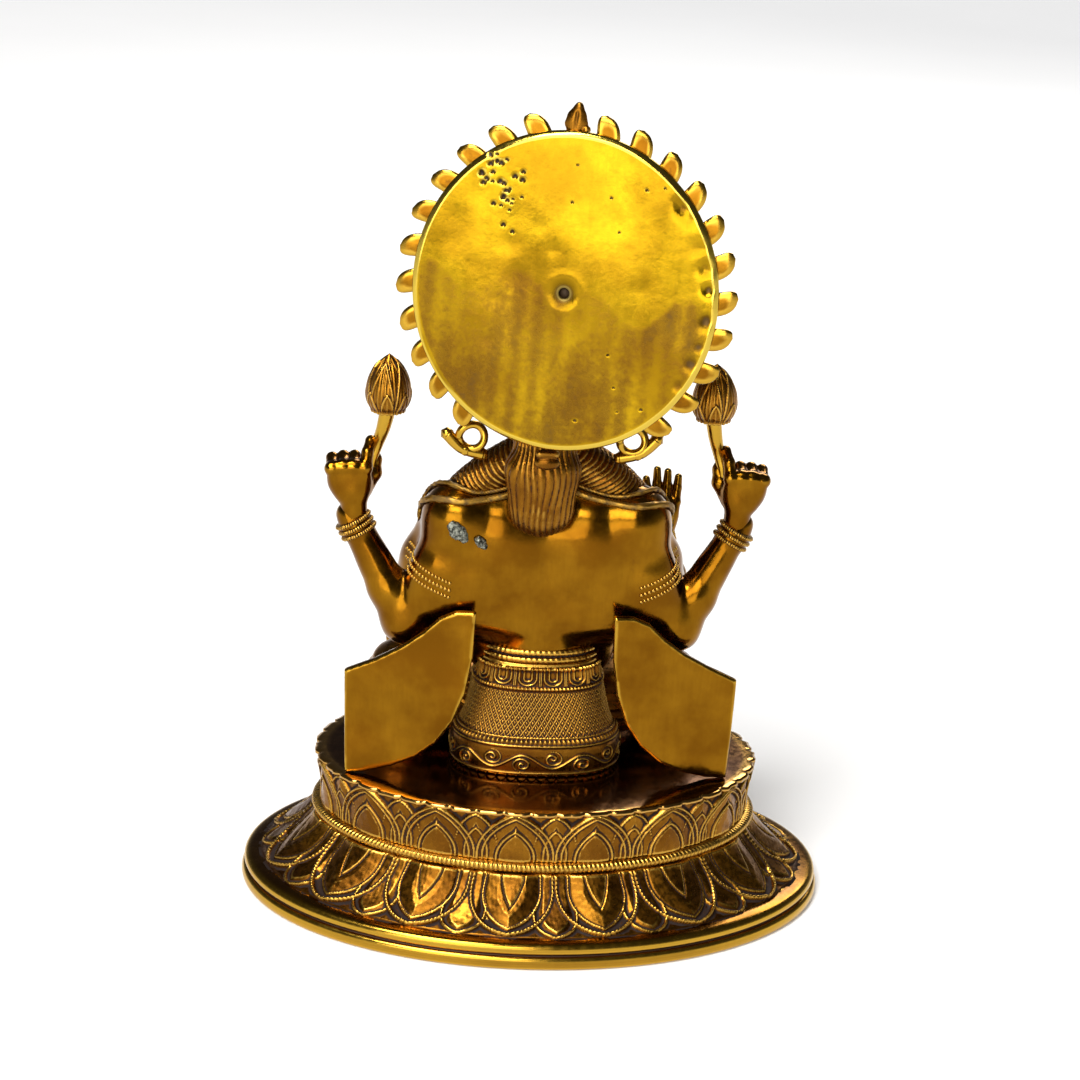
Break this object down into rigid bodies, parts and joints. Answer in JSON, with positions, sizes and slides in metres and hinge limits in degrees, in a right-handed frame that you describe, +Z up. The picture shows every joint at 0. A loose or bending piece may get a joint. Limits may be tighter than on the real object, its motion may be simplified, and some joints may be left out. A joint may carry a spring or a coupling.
{
  "type": "seated deity statue",
  "caption": "Seated four-armed deity in cast brass on an oval lotus base, holding lotus buds, with a round petal-edged halo plate behind the head.",
  "frame": {"origin": "middle of the oval base, on the surface it stands on", "axes": "+Z up; the deity faces -Y and its back and halo plate look along +Y; +X is the deity's left"},
  "size_m": [0.226, 0.1544, 0.3114],
  "materials": {
    "polished_brass": "polished, with fine brushing and patina in hollows",
    "aged_brass": "chased relief with dark patina in the recesses and rubbed high points",
    "dark_seat": "smooth, dark lacquered brown",
    "solder": "rough grey solder"
  },
  "bodies": {
    "root": {"base_rim": "polished_brass", "torso": "polished_brass", "head": "polished_brass", "halo_disc": "polished_brass", "halo_peg": "polished_brass", "foot_left": "polished_brass", "foot_right": "polished_brass", "rear_upper_arm_left": "polished_brass", "rear_upper_arm_right": "polished_brass", "front_upper_arm_left": "polished_brass", "front_upper_arm_right": "polished_brass", "rear_forearm_left": "polished_brass", "rear_forearm_right": "polished_brass", "front_forearm_left": "polished_brass", "front_forearm_right": "polished_brass", "rear_hand_left": "polished_brass", "rear_hand_right": "polished_brass", "front_hand_left": "polished_brass", "front_hand_right": "polished_brass", "sash_plate_left": "polished_brass", "sash_plate_right": "polished_brass", "lotus_lower": "aged_brass", "ribbed_band": "aged_brass", "lotus_upper": "aged_brass", "lower_garment": "aged_brass", "waist_belt": "aged_brass", "girdle_band": "aged_brass", "hem_band": "aged_brass", "lap_cloth": "aged_brass", "crown": "aged_brass", "hair_bun": "aged_brass", "bun_clasp": "aged_brass", "collar": "aged_brass", "pendant": "aged_brass", "halo_petal_ring": "aged_brass", "halo_front_ring": "aged_brass", "halo_finial": "aged_brass", "leg_left": "aged_brass", "leg_right": "aged_brass", "anklet_left": "aged_brass", "anklet_right": "aged_brass", "armlet_left": "aged_brass", "armlet_right": "aged_brass", "rear_bangle_left": "aged_brass", "rear_bangle_right": "aged_brass", "front_bangle_left": "aged_brass", "front_bangle_right": "aged_brass", "lotus_stem_left": "aged_brass", "lotus_stem_right": "aged_brass", "lotus_bud_left": "aged_brass", "lotus_bud_right": "aged_brass", "earring_left": "aged_brass", "earring_right": "aged_brass", "ribbon_left": "aged_brass", "ribbon_right": "aged_brass", "seat_plate": "dark_seat", "solder_patch_large": "solder", "solder_patch_small": "solder"}
  },
  "joints": []
}
